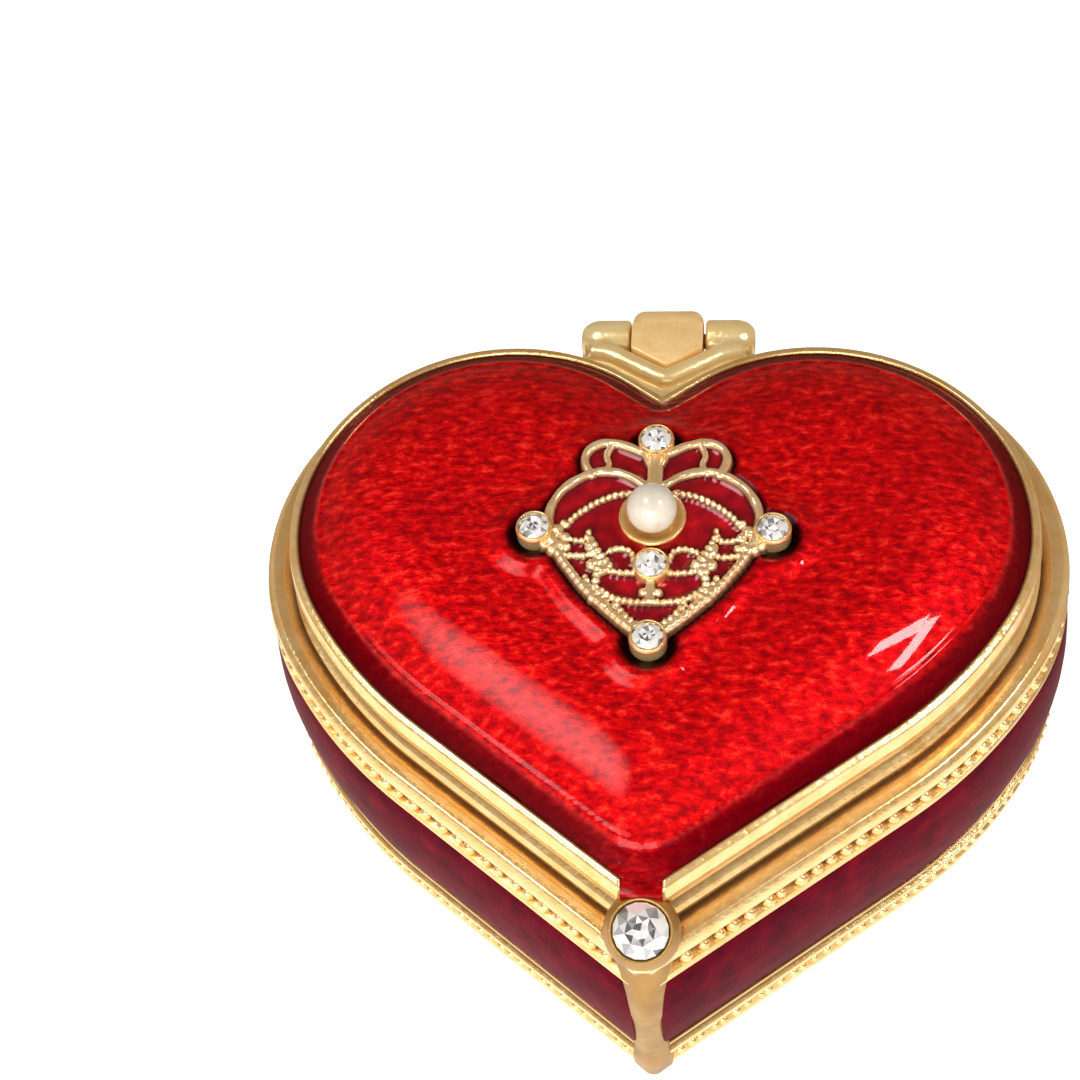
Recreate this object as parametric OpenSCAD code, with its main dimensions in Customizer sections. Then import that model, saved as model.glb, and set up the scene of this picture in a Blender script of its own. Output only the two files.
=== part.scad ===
// Heart-shaped enamelled trinket box with a hinged lid and a magnetic catch.
// Millimetres. The box stands on z = 0, its point towards -Y and its hinge towards +Y.

/* [Heart outline] */
// Overall width across the two lobes, at the foot
box_w = 60; // [45:1:80]
// Distance from the box centre to the point of the heart
tip_y = -26; // [-30:0.5:-22]
// Rise of the straight front sides from the point, in degrees
side_angle = 36.4; // [33:0.1:39]
// Length of each straight front side
side_len = 22.3; // [18:0.1:25]
// Radius of the shoulder between the straight side and the lobe
shoulder_r = 36.6; // [30:0.2:45]
// Sweep of the shoulder, in degrees
shoulder_sweep = 21; // [16:0.5:26]
// Radius of each lobe
lobe_r = 18.8; // [17:0.1:21]

/* [Base] */
// Height of the base up to the land that the lid rests over
base_h = 18; // [14:0.5:24]
// Height of the raised outer rim above the land
rim_rise = 0.7; // [0.3:0.1:1]
// Height of the foot moulding
foot_h = 3.2; // [2:0.1:5]
// Thickness of the cast floor
floor_t = 1.6; // [1:0.1:3]
// How far the inside wall of the cavity is set in from the foot outline
cavity_inset = 4.2; // [3.8:0.1:4.4]
// Thickness of the pearl enamel skins
lining_t = 0.5; // [0.3:0.1:0.8]

/* [Lid] */
// Height of the lid rail, from the land to the top of the rail
lid_h = 4.7; // [4:0.1:6]
// Rise of the enamel dome above its own edge
dome_rise = 3.1; // [2:0.1:4]
// Gap under the lid when it is shut
seat_gap = 0.1; // [0.05:0.01:0.2]

/* [Hinge] */
// Hinge axis behind the box centre
hinge_y = 26.8; // [26:0.1:28]
// Hinge axis above the table
hinge_z = 17.6; // [17:0.1:18]
// Radius of the middle knuckle, on the lid leaf
leaf_r = 2.4; // [2:0.1:2.6]
// Radius of the two outer knuckles, on the base arms
arm_r = 1.7; // [1.4:0.1:2]
// Half the width of the lid leaf
leaf_half = 2.75; // [2:0.05:4]
// Half the overall length of the hinge
hinge_half = 6.8; // [5:0.1:9]
// Diameter of the hinge pin
pin_d = 1.2; // [1:0.05:1.6]

/* [Catch and stones] */
// Diameter of each magnet
magnet_d = 7.5; // [6:0.5:8]
// Radius of the thumb ball at the point of the lid
ball_r = 2.5; // [2:0.1:3]
// Diameter of the small crystals
stone_d = 2; // [1.6:0.1:2.4]
// Diameter of the crystal in the thumb ball
tip_stone_d = 3.55; // [3:0.05:3.8]
// Diameter of the pearl
pearl_d = 3.4; // [3:0.1:4]

/* [Hidden] */
$fn = 64;

gold = [0.83, 0.62, 0.28];
wine = [0.45, 0.03, 0.08];
ruby = [0.72, 0.03, 0.06];
ivory = [0.93, 0.9, 0.78];
steel = [0.62, 0.72, 0.76];
glass = [0.88, 0.9, 0.92];

big = 100;

// ---- heart outline: one straight side, one shoulder arc, one lobe arc, mirrored ----
arc_step = 6;
side_end = [side_len * cos(side_angle), tip_y + side_len * sin(side_angle)];
lobe_start_angle = side_angle + shoulder_sweep;
shoulder_c = side_end + shoulder_r * [-sin(side_angle), cos(side_angle)];
lobe_start = shoulder_c + shoulder_r * [sin(lobe_start_angle), -cos(lobe_start_angle)];
lobe_c = lobe_start + lobe_r * [-sin(lobe_start_angle), cos(lobe_start_angle)];
lobe_end_angle = 180 + asin(lobe_c[0] / lobe_r);

function arc_points(c, r, from, to, n) =
  [for (i = [1:n]) let (a = from + (to - from) * i / n) c + r * [sin(a), -cos(a)]];

shoulder_n = ceil(shoulder_sweep / arc_step);
lobe_n = ceil((lobe_end_angle - lobe_start_angle) / arc_step);
raw_half = concat(
  [[0, tip_y], side_end],
  arc_points(shoulder_c, shoulder_r, side_angle, lobe_start_angle, shoulder_n),
  arc_points(lobe_c, lobe_r, lobe_start_angle, lobe_end_angle, lobe_n)
);
width_scale = box_w / 2 / (lobe_c[0] + lobe_r);
last = len(raw_half) - 1;
half = [for (i = [0:last]) [i == last ? 0 : raw_half[i][0] * width_scale, raw_half[i][1]]];

function unit(v) = v / norm(v);
function flip(v) = [-v[0], v[1]];
function outward(p, q) = let (d = unit(q - p)) [d[1], -d[0]];

// Closed outline (counter-clockwise) set in by d, with mitred corners
function inset(pts, d) =
  let (n = len(pts))
  [for (i = [0:n - 1])
    let (
      before = outward(pts[(i + n - 1) % n], pts[i]),
      after = outward(pts[i], pts[(i + 1) % n])
    )
    pts[i] - d * (before + after) / (1 + before * after)];

outline = concat(half, [for (i = [last - 1:-1:1]) flip(half[i])]);
function heart(d) = inset(outline, d);

module band(z0, z1, d) {
  translate([0, 0, z0])
    linear_extrude(height = z1 - z0)
      polygon(heart(d));
}

module beyond(x0, x1, y0, y1, z0, z1) {
  translate([x0, y0, z0])
    cube([x1 - x0, y1 - y0, z1 - z0]);
}

// ---- levels of the base ----
panel_z0 = foot_h + 0.7;
panel_z1 = base_h - 2.9;
fillet_z1 = panel_z1 + 0.6;
channel_z1 = fillet_z1 + 1.1;
panel_seat = 1.7;
rim_outer = 1.2;
crest_inner = 2.7;
rabbet_inset = 3.5;
rabbet_z = base_h - 0.8;
post_half = 1.1;
rear_half = 7.4;

// ---- levels of the lid ----
lid_z0 = base_h + seat_gap;
rail_top = base_h + lid_h;
enamel_edge_z = rail_top - 0.2;
enamel_inset = 4.2;
lid_inset = 3.3;
wall_inset = lid_inset + 0.2;
lip_outer = 3.75;
lip_inner = 4.5;
lip_z = rabbet_z + 0.2;
recess_inset = 5.3;
step_inset = 9.5;
recess_z = base_h + 2.4;
recess_top = base_h + 4.6;
plateau_inset = 7;
plateau_z = rail_top + 0.9;
seat_z = rail_top - 1.1;
crown_inset = 13;
crown_z = enamel_edge_z + dome_rise;

// ---- catch ----
magnet_y = -13.6;
post_r = magnet_d / 2 + 1.05;
pocket_r = magnet_d / 2 + 0.2;
base_magnet_t = 2;
lid_magnet_t = 1.5;

// ---- thumb ball at the point of the lid ----
ball_at = [0, -22.3, base_h + 1.8];
ball_tilt = 20;
ball_clear = 0.2;
socket_wall = 0.8;
ball_face = 1.35;

// ---- ornament on the crown ----
plate_z0 = crown_z - 0.3;
plate_t = 0.5;
wire_z1 = plate_z0 + 1.2;
cell_z1 = plate_z0 + 0.9;
wire_w = 0.7;
pearl_at = [0, 4.25];
stone_places = [[0, 10.95], [-8.1, 3.65], [8.1, 3.65], [0, 0.75], [0, -4.8]];
bezel_r = stone_d / 2 + 0.3;
bezel_h = 1.35;
leaf_top_z = hinge_z + leaf_r;

// ================= base =================
module ball_socket(r) {
  translate(ball_at)
    sphere(r = r);
}

module base_shell() {
  band(0, 0.5, 0.2);
  band(0.5, foot_h, 0);
  band(foot_h, panel_z0, 0.35);
  band(panel_z0, panel_z1, panel_seat);
  band(panel_z1, fillet_z1, 0.85);
  band(fillet_z1, channel_z1, 1.7);
  band(channel_z1, base_h + rim_rise, rim_outer);
  intersection() {
    band(panel_z0, channel_z1, 0.3);
    union() {
      beyond(-post_half, post_half, -big, 0, 0, big);
      beyond(-rear_half, rear_half, 0, big, 0, big);
    }
  }
  intersection() {
    ball_socket(ball_r + socket_wall);
    beyond(-big, big, -big, big, 0, base_h + 0.3);
  }
}

module base_casting() {
  color(gold)
    difference() {
      base_shell();
      band(floor_t, big, cavity_inset);
      band(rabbet_z, big, rabbet_inset);
      band(base_h, big, crest_inner);
      ball_socket(ball_r + ball_clear);
    }
}

// Bulging outer skin between the foot and the beaded channel, on one side of the box
panel_bulge = [[0, 0.45], [0.12, 0.15], [0.3, 0], [0.5, 0], [0.68, 0.2], [0.84, 0.5], [1, 0.85]];
module panel_skin() {
  difference() {
    for (k = [0:len(panel_bulge) - 2])
      band(
        panel_z0 + (panel_z1 - panel_z0) * panel_bulge[k][0],
        panel_z0 + (panel_z1 - panel_z0) * panel_bulge[k + 1][0],
        (panel_bulge[k][1] + panel_bulge[k + 1][1]) / 2
      );
    band(0, big, panel_seat);
    beyond(-post_half, post_half, -big, 0, 0, big);
    beyond(-rear_half, rear_half, 0, big, 0, big);
    ball_socket(ball_r + socket_wall);
  }
}

module side_enamel(side) {
  color(wine)
    intersection() {
      panel_skin();
      beyond(side < 0 ? -big : 0, side < 0 ? 0 : big, -big, big, 0, big);
    }
}

module side_enamel_left() {
  side_enamel(-1);
}

module side_enamel_right() {
  side_enamel(1);
}

module base_lining() {
  color(ivory)
    difference() {
      band(floor_t, rabbet_z, cavity_inset);
      band(floor_t + lining_t, big, cavity_inset + lining_t);
      translate([0, magnet_y, 0])
        cylinder(r = post_r, h = big);
    }
}

module base_magnet_post() {
  top = rabbet_z - 0.1;
  color(gold)
    translate([0, magnet_y, floor_t])
      difference() {
        cylinder(r = post_r, h = top - floor_t);
        translate([0, 0, top - floor_t - base_magnet_t - 0.2])
          cylinder(r = pocket_r, h = big);
      }
}

module base_magnet() {
  color(steel)
    translate([0, magnet_y, rabbet_z - 0.3 - base_magnet_t])
      cylinder(d = magnet_d, h = base_magnet_t);
}

module along_hinge(x0, x1, r) {
  translate([x0, hinge_y, hinge_z])
    rotate([0, 90, 0])
      cylinder(r = r, h = x1 - x0);
}

// Cast arm that runs back from the cleft wall and ends in an outer knuckle
knuckle_gap = 0.2;
module hinge_arm(side) {
  x0 = leaf_half + knuckle_gap;
  color(gold)
    scale_side(side)
      difference() {
        union() {
          along_hinge(x0, hinge_half, arm_r);
          translate([x0, 0, 0])
            rotate([90, 0, 90])
              linear_extrude(height = hinge_half - x0)
                polygon([
                  [19, 9], [19, hinge_z - 0.7], [hinge_y, hinge_z], [hinge_y, hinge_z - arm_r]
                ]);
        }
        band(0, base_h, 0.3);
        band(channel_z1, big, rim_outer);
        along_hinge(-big, big, pin_d / 2);
      }
}

module scale_side(side) {
  if (side < 0)
    mirror([1, 0, 0]) children();
  else
    children();
}

module hinge_arm_left() {
  hinge_arm(-1);
}

module hinge_arm_right() {
  hinge_arm(1);
}

module hinge_pin() {
  color(gold)
    along_hinge(-hinge_half + 0.2, hinge_half - 0.2, pin_d / 2);
}

// ================= lid =================
module lid_recess(shrink) {
  band(0, recess_z - shrink, recess_inset + shrink);
  band(0, recess_top - shrink, step_inset + shrink);
}

module lid_plateau() {
  band(seat_z - 1, plateau_z, plateau_inset);
}

module lid_casting() {
  color(gold)
    difference() {
      union() {
        band(lid_z0, lid_z0 + 0.6, lid_inset - 0.3);
        band(lid_z0 + 0.6, lid_z0 + 1.4, lid_inset + 0.5);
        band(lid_z0 + 1.4, rail_top, wall_inset);
        lid_plateau();
        band(lip_z, lid_z0, lip_outer);
      }
      difference() {
        band(seat_z, big, enamel_inset);
        lid_plateau();
      }
      band(0, lid_z0, lip_inner);
      lid_recess(0);
      ball_socket(ball_r);
      translate([0, magnet_y, 0])
        cylinder(r = pocket_r, h = base_h + lid_magnet_t + 0.3);
    }
}

// Domed enamel: rings of the heart outline rising towards the crown, closed at the seat
dome_inset = [enamel_inset, 5.2, 6.6, 8.4, 10.6, crown_inset];
dome_lift = [0, 0.3, 0.5, 0.78, 0.94, 1];
module dome() {
  n = len(heart(0));
  rings = len(dome_inset);
  points = concat(
    [for (p = heart(enamel_inset)) [p[0], p[1], seat_z]],
    [for (k = [0:rings - 1]) for (p = heart(dome_inset[k]))
      [p[0], p[1], enamel_edge_z + dome_rise * dome_lift[k]]]
  );
  faces = concat(
    [[for (i = [0:n - 1]) i]],
    [for (k = [0:rings - 1]) for (i = [0:n - 1])
      [k * n + i, k * n + n + i, k * n + n + (i + 1) % n, k * n + (i + 1) % n]],
    [[for (i = [n - 1:-1:0]) rings * n + i]]
  );
  polyhedron(points, faces);
}

module lid_enamel() {
  color(ruby)
    difference() {
      dome();
      lid_plateau();
      ball_socket(ball_r);
    }
}

module lid_lining() {
  color(ivory)
    difference() {
      intersection() {
        lid_recess(0);
        band(lid_z0 + 0.2, big, recess_inset);
        beyond(-big, big, magnet_y - post_r + 1, big, 0, big);
      }
      lid_recess(lining_t);
      translate([0, magnet_y, 0])
        cylinder(r = post_r, h = big);
    }
}

module lid_magnet_cup() {
  color(gold)
    difference() {
      translate([0, magnet_y, lid_z0])
        cylinder(r = post_r, h = recess_z - lid_z0);
      translate([0, magnet_y, 0])
        cylinder(r = pocket_r, h = big);
      difference() {
        band(0, big, 0);
        band(0, big, recess_inset);
      }
    }
}

module lid_magnet() {
  color(steel)
    translate([0, magnet_y, base_h + 0.3])
      cylinder(d = magnet_d, h = lid_magnet_t);
}

// Plate that fills the cleft behind the lid, with a V bead and the middle knuckle
leaf_z0 = base_h + rim_rise + 0.15;
bead_v = 22.9;
bead_end = [5.6, 24.6];
bead_w = 1.5;
module lid_hinge_leaf() {
  color(gold)
    difference() {
      union() {
        along_hinge(-leaf_half, leaf_half, leaf_r);
        translate([0, 0, leaf_z0])
          linear_extrude(height = leaf_top_z - 0.1 - leaf_z0)
            polygon([
              [0, bead_v - 6], [bead_end[0], bead_end[1] - 4], bead_end, [0, bead_v], flip(bead_end),
              [-bead_end[0], bead_end[1] - 4]
            ]);
        beyond(-leaf_half, leaf_half, bead_v - 2, hinge_y, leaf_z0, leaf_top_z);
      }
      band(0, big, wall_inset);
      along_hinge(-big, big, pin_d / 2 + 0.03);
    }
}

module on_ball() {
  translate(ball_at)
    rotate([ball_tilt, 0, 0])
      children();
}

module thumb_ball() {
  color(gold)
    difference() {
      ball_socket(ball_r);
      on_ball()
        translate([0, 0, ball_face])
          cylinder(r = big, h = big);
      on_ball()
        translate([0, 0, 0.2])
          cylinder(d = tip_stone_d, h = big);
    }
}

// Round stone: a belt with a cut crown above it
module stone(d, belt, crown) {
  cylinder(d = d, h = belt);
  translate([0, 0, belt])
    cylinder(d1 = d, d2 = d * 0.55, h = crown);
}

module thumb_crystal() {
  color(glass)
    on_ball()
      translate([0, 0, 0.2])
        stone(tip_stone_d, 1.2, 0.5);
}

// ================= ornament =================
// Right half of the ornament's outline: a small heart with a crest of two curls
orn_half = [
  [0, -4.7], [3.9, -1.6], [6.7, 1.6], [7.6, 3.5], [7.6, 5.2], [6.9, 6.9], [5.6, 8.3],
  [5.5, 10], [4.6, 11.2], [3, 11.5], [1.5, 10.8], [0, 10.6]
];
orn_outline = concat(orn_half, [for (i = [len(orn_half) - 2:-1:1]) flip(orn_half[i])]);

function ngon(c, r, n) = [for (i = [0:n - 1]) c + r / cos(180 / n) * [cos(360 * i / n), sin(360 * i / n)]];

cup_d = pearl_d + 1;
hole_sides = 12;

// Clearance round the settings and the pearl cup
module setting_holes() {
  for (p = stone_places)
    polygon(ngon(p, bezel_r + 0.02, hole_sides));
  polygon(ngon(pearl_at, cup_d / 2 + 0.02, hole_sides));
}

module layer(z0, z1) {
  translate([0, 0, z0])
    linear_extrude(height = z1 - z0)
      children();
}

// Plate with a raised border
module ornament_filigree() {
  color(gold)
    difference() {
      layer(crown_z, wire_z1)
        polygon(orn_outline);
      layer(plate_z0 + plate_t, big)
        polygon(inset(orn_outline, wire_w));
      layer(0, big)
        setting_holes();
    }
}

module ornament_enamel() {
  color(ruby)
    difference() {
      layer(plate_z0 + plate_t, cell_z1)
        polygon(inset(orn_outline, wire_w));
      layer(0, big)
        setting_holes();
    }
}

module bezel(i) {
  color(gold)
    translate([stone_places[i][0], stone_places[i][1], crown_z])
      difference() {
        cylinder(r = bezel_r, h = bezel_h);
        translate([0, 0, bezel_h - 0.6])
          cylinder(d = stone_d, h = big);
      }
}

module crystal(i) {
  color(glass)
    translate([stone_places[i][0], stone_places[i][1], crown_z + bezel_h - 0.6])
      stone(stone_d, 0.5, 0.4);
}

module bezel_top() {
  bezel(0);
}

module bezel_left() {
  bezel(1);
}

module bezel_right() {
  bezel(2);
}

module bezel_centre() {
  bezel(3);
}

module bezel_bottom() {
  bezel(4);
}

module crystal_top() {
  crystal(0);
}

module crystal_left() {
  crystal(1);
}

module crystal_right() {
  crystal(2);
}

module crystal_centre() {
  crystal(3);
}

module crystal_bottom() {
  crystal(4);
}

// Cup under the pearl, with the peg that the pearl is threaded on
pearl_z = crown_z + 0.9 + pearl_d / 2;
peg_d = 0.7;
module at_pearl() {
  translate([pearl_at[0], pearl_at[1], 0])
    children();
}

module pearl_cup() {
  color(gold)
    difference() {
      at_pearl()
        translate([0, 0, crown_z])
          cylinder(d = cup_d, h = 1.9);
      at_pearl()
        translate([0, 0, pearl_z])
          sphere(d = pearl_d + 0.06);
      at_pearl()
        translate([0, 0, pearl_z])
          cylinder(d = pearl_d + 0.06, h = big);
      at_pearl()
        translate([0, 0, crown_z + 0.4])
          cylinder(d = peg_d, h = big);
    }
}

module pearl_peg() {
  color(gold)
    at_pearl()
      translate([0, 0, crown_z + 0.4])
        cylinder(d = peg_d, h = pearl_z - crown_z - 0.4);
}

module pearl() {
  color("ivory")
    difference() {
      at_pearl()
        translate([0, 0, pearl_z])
          sphere(d = pearl_d);
      at_pearl()
        translate([0, 0, crown_z])
          cylinder(d = peg_d, h = pearl_z - crown_z);
    }
}

base_casting();
side_enamel_left();
side_enamel_right();
base_lining();
base_magnet_post();
base_magnet();
hinge_arm_left();
hinge_arm_right();
hinge_pin();
lid_casting();
lid_enamel();
lid_lining();
lid_magnet_cup();
lid_magnet();
lid_hinge_leaf();
thumb_ball();
thumb_crystal();
ornament_filigree();
ornament_enamel();
pearl_cup();
pearl_peg();
pearl();
bezel_top();
bezel_left();
bezel_right();
bezel_centre();
bezel_bottom();
crystal_top();
crystal_left();
crystal_right();
crystal_centre();
crystal_bottom();
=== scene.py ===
import math

import bmesh
import bpy
import numpy as np
from mathutils import Matrix, Vector
from mathutils.geometry import delaunay_2d_cdt


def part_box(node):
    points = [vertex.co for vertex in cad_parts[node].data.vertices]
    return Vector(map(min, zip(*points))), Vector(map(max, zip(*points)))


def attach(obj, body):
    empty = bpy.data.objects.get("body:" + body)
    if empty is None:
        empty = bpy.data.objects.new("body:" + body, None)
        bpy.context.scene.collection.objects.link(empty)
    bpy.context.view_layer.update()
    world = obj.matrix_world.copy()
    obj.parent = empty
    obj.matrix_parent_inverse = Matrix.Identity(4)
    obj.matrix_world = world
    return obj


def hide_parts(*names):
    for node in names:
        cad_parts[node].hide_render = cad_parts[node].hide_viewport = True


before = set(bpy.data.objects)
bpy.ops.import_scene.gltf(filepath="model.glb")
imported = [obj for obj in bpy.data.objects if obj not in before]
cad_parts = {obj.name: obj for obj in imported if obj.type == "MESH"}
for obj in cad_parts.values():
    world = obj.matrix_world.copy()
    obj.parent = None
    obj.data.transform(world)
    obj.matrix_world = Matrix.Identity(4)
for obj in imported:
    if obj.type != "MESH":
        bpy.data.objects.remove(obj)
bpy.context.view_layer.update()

scene = bpy.context.scene
MM = 0.001  # lengths below are in millimetres, as in the part; meshes are made in metres
rng = np.random.default_rng(7)


# ---------------------------------------------------------------- frame values
def low(node):
    return np.array(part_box(node)[0]) / MM


def high(node):
    return np.array(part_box(node)[1]) / MM


def middle(node):
    return (low(node) + high(node)) / 2


TIP_Y = low("base_casting")[1]
HALF_W = high("base_casting")[0]
RIM_TOP = high("base_casting")[2]
LAND = RIM_TOP - 0.7
PANEL_Z0 = low("side_enamel_left")[2]
PANEL_Z1 = high("side_enamel_left")[2]
RAIL_TOP = LAND + 4.7
EDGE_Z = RAIL_TOP - 0.2
CROWN_Z = high("lid_enamel")[2]
HINGE_Y = middle("hinge_pin")[1]
HINGE_Z = middle("hinge_pin")[2]
PIN_END = high("hinge_pin")[0]
ARM_X0 = low("hinge_arm_right")[0]
ARM_X1 = high("hinge_arm_right")[0]
LEAF_R = high("lid_hinge_leaf")[1] - HINGE_Y
LEAF_HALF = ARM_X0 - 0.2
BALL = np.array([0, -22.3, LAND + 1.8])
BALL_R = high("thumb_ball")[0]
BALL_TILT = math.radians(20)
MAGNET = middle("base_magnet")

# ---------------------------------------------------------------- heart outline
SIDE_ANGLE = math.radians(36.4)
SIDE_LEN = 22.3
SHOULDER_R = 36.6
SHOULDER_SWEEP = math.radians(21)
LOBE_R = 18.8
STATION = 0.7  # spacing of the outline's points
CLEFT_STEPS = 6
FILLET_POINTS = 5


def arc(c, r, a0, a1):
    """Points of an arc after its first one, and the outward normals there."""
    n = max(2, int(abs(a1 - a0) * r / STATION))
    a = np.linspace(a0, a1, n + 1)[1:]
    out = np.c_[np.sin(a), -np.cos(a)]
    return c + r * out, out


def split_last(rows):
    """The last step in equal parts, so that the curve stays fine where it spreads in the cleft."""
    t = np.linspace(0, 1, CLEFT_STEPS + 1)[1:, None]
    return np.vstack([rows[:-1], rows[-2] + t * (rows[-1] - rows[-2])])


def half_outline():
    """Right half from the point to the cleft: points, and outward mitre vectors."""
    d = np.array([math.cos(SIDE_ANGLE), math.sin(SIDE_ANGLE)])
    n = np.array([d[1], -d[0]])
    t = np.linspace(0, SIDE_LEN, int(SIDE_LEN / STATION))[:, None]
    side = np.array([0, TIP_Y]) + t * d
    a1 = SIDE_ANGLE + SHOULDER_SWEEP
    c1 = side[-1] - SHOULDER_R * n
    shoulder, n1 = arc(c1, SHOULDER_R, SIDE_ANGLE, a1)
    c2 = c1 + (SHOULDER_R - LOBE_R) * np.array([math.sin(a1), -math.cos(a1)])
    lobe, n2 = arc(c2, LOBE_R, a1, math.pi + math.asin(c2[0] / LOBE_R))
    pts = np.vstack([side, shoulder, lobe])
    slide = math.tan(SIDE_ANGLE) * (1 - t / SIDE_LEN)
    out = np.vstack([n - slide * d, n1, n2])
    out[-1] = [0, 1 / n2[-1][1]]
    pts[:, 0] *= HALF_W / (c2[0] + LOBE_R)
    pts[-1, 0] = 0
    return split_last(pts), split_last(out)


HALF, OUT = half_outline()
RUN = np.r_[0, np.cumsum(np.linalg.norm(np.diff(HALF, axis=0), axis=1))]


def ring(d):
    """Closed heart, set in by d."""
    right = HALF - d * OUT
    left = right[-2:0:-1] * [-1, 1]
    return np.vstack([right, left])


def along(d, s):
    """Points on the right half set in by d, at the runs s along the foot outline."""
    x = np.interp(s, RUN, HALF[:, 0])
    y = np.interp(s, RUN, HALF[:, 1])
    nx = np.interp(s, RUN[:-1], OUT[:-1, 0])
    ny = np.interp(s, RUN[:-1], OUT[:-1, 1])
    return np.c_[x - d * nx, y - d * ny]


def run_at_x(x, front):
    """Run along the right half where it crosses x, in front or behind."""
    k = int(HALF[:, 0].argmax())
    if front:
        return float(np.interp(x, HALF[:k, 0], RUN[:k]))
    return float(np.interp(-x, -HALF[k:, 0], RUN[k:]))


PANEL_END = run_at_x(7.4, False)  # the side panels stop here behind


def denser(points, n):
    """Each step of the path cut into n; the last point is left out."""
    t = np.linspace(0, 1, n, endpoint=False)
    return (points[:-1, None] + np.diff(points, axis=0)[:, None] * t[None, :, None]).reshape(-1, 2)


def inside(xy, outline):
    """Which points are inside a closed outline."""
    odd = np.zeros(len(xy), bool)
    for a, b in zip(outline, np.roll(outline, -1, 0)):
        cross = (a[1] > xy[:, 1]) != (b[1] > xy[:, 1])
        rise = b[1] - a[1] if b[1] != a[1] else 1e-9
        odd ^= cross & (xy[:, 0] < (b[0] - a[0]) * (xy[:, 1] - a[1]) / rise + a[0])
    return odd


def nearest(xy, curve):
    """Distance from each point to the closest point of the curve."""
    return np.concatenate([np.linalg.norm(part[:, None] - curve[None], axis=2).min(1)
                           for part in np.array_split(xy, 60)])


# ---------------------------------------------------------------- mesh helpers
def placed(name, data):
    """Object with this data, linked into the scene."""
    obj = bpy.data.objects.new(name, data)
    scene.collection.objects.link(obj)
    return obj


def mesh_object(name, verts, faces, smooth=40):
    """Mesh with its normals outward, and sharp where it turns by more than smooth degrees."""
    mesh = bpy.data.meshes.new(name)
    mesh.from_pydata([tuple(v) for v in np.asarray(verts, float) * MM], [], faces)
    mesh.validate()
    bm = bmesh.new()
    bm.from_mesh(mesh)
    bmesh.ops.recalc_face_normals(bm, faces=bm.faces)
    bm.to_mesh(mesh)
    bm.free()
    mesh.shade_smooth()
    if smooth < 180:
        mesh.set_sharp_from_angle(angle=math.radians(smooth))
    return placed(name, mesh)


def join_parts(*parts):
    """Several (verts, faces) as one."""
    verts, faces, base = [], [], 0
    for v, f in parts:
        verts.append(np.asarray(v, float))
        faces += [tuple(i + base for i in face) for face in f]
        base += len(v)
    return np.vstack(verts), faces


def fillet(points):
    """Profile [(d, z, r)] with each corner rounded to its radius r."""
    out = []
    n = len(points)
    for i, (x, y, r) in enumerate(points):
        p = np.array([x, y], float)
        if r == 0:
            out.append(p)
            continue
        a = np.array(points[i - 1][:2]) - p
        b = np.array(points[(i + 1) % n][:2]) - p
        la, lb = np.linalg.norm(a), np.linalg.norm(b)
        a, b = a / la, b / lb
        half_turn = math.acos(max(-1, min(1, float(a @ b)))) / 2
        cut = min(r / math.tan(half_turn), la * 0.48, lb * 0.48)
        for t in np.linspace(0, 1, FILLET_POINTS):
            q = (1 - t) ** 2 * (p + a * cut) + 2 * t * (1 - t) * p + t * t * (p + b * cut)
            out.append(q)
    return np.array(out)


def grid_faces(rows, cols, wrap_rows, wrap_cols):
    """Quads between the rows, closed in either direction where asked."""
    faces = []
    for i in range(rows if wrap_rows else rows - 1):
        for j in range(cols if wrap_cols else cols - 1):
            i1, j1 = (i + 1) % rows, (j + 1) % cols
            faces.append((i * cols + j, i1 * cols + j, i1 * cols + j1, i * cols + j1))
    return faces


def loft(rows):
    """Closed loops joined in order, with a face over the first and the last."""
    cols = len(rows[0])
    faces = grid_faces(len(rows), cols, False, True)
    faces.append(tuple(range(cols)))
    faces.append(tuple((len(rows) - 1) * cols + j for j in range(cols)))
    return np.vstack(rows), faces


def heart_sweep(profile, closed=True):
    """The profile's (d, z) points carried round the heart. An open one is capped at both ends."""
    rows = [np.c_[ring(d), np.full(len(ring(d)), z)] for d, z in profile]
    if closed:
        return np.vstack(rows), grid_faces(len(rows), len(rows[0]), True, True)
    return loft(rows)


def side_sweep(profile, s, side):
    """The closed profile carried along the right half over the runs s, capped at its ends."""
    cols = len(s)
    rows = []
    for d, z in profile:
        p = along(d, s)
        rows.append(np.c_[p[:, 0] * side, p[:, 1], np.full(cols, z)])
    faces = grid_faces(len(rows), cols, True, False)
    faces.append(tuple(i * cols for i in range(len(rows))))
    faces.append(tuple(i * cols + cols - 1 for i in range(len(rows))))
    return np.vstack(rows), faces


def lathe(profile, steps, at, turn=None):
    """Closed or axis-to-axis (r, z) profile turned about Z, then rotated and placed."""
    verts, rows = [], []
    for r, z in profile:
        if r < 1e-6:
            rows.append([len(verts)] * steps)
            verts.append((0, 0, z))
            continue
        rows.append(list(range(len(verts), len(verts) + steps)))
        for k in range(steps):
            a = 2 * math.pi * k / steps
            verts.append((r * math.cos(a), r * math.sin(a), z))
    faces = []
    on_axis = profile[0][0] < 1e-6 and profile[-1][0] < 1e-6
    last = len(rows) - 1 if on_axis else len(rows)
    for i in range(last):
        a, b = rows[i], rows[(i + 1) % len(rows)]
        for k in range(steps):
            k1 = (k + 1) % steps
            face = []
            for v in (a[k], a[k1], b[k1], b[k]):
                if v not in face:
                    face.append(v)
            if len(face) > 2:
                faces.append(tuple(face))
    verts = np.array(verts)
    if turn is not None:
        verts = verts @ np.array(turn.to_3x3()).T
    return verts + np.array(at, float), faces


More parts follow.
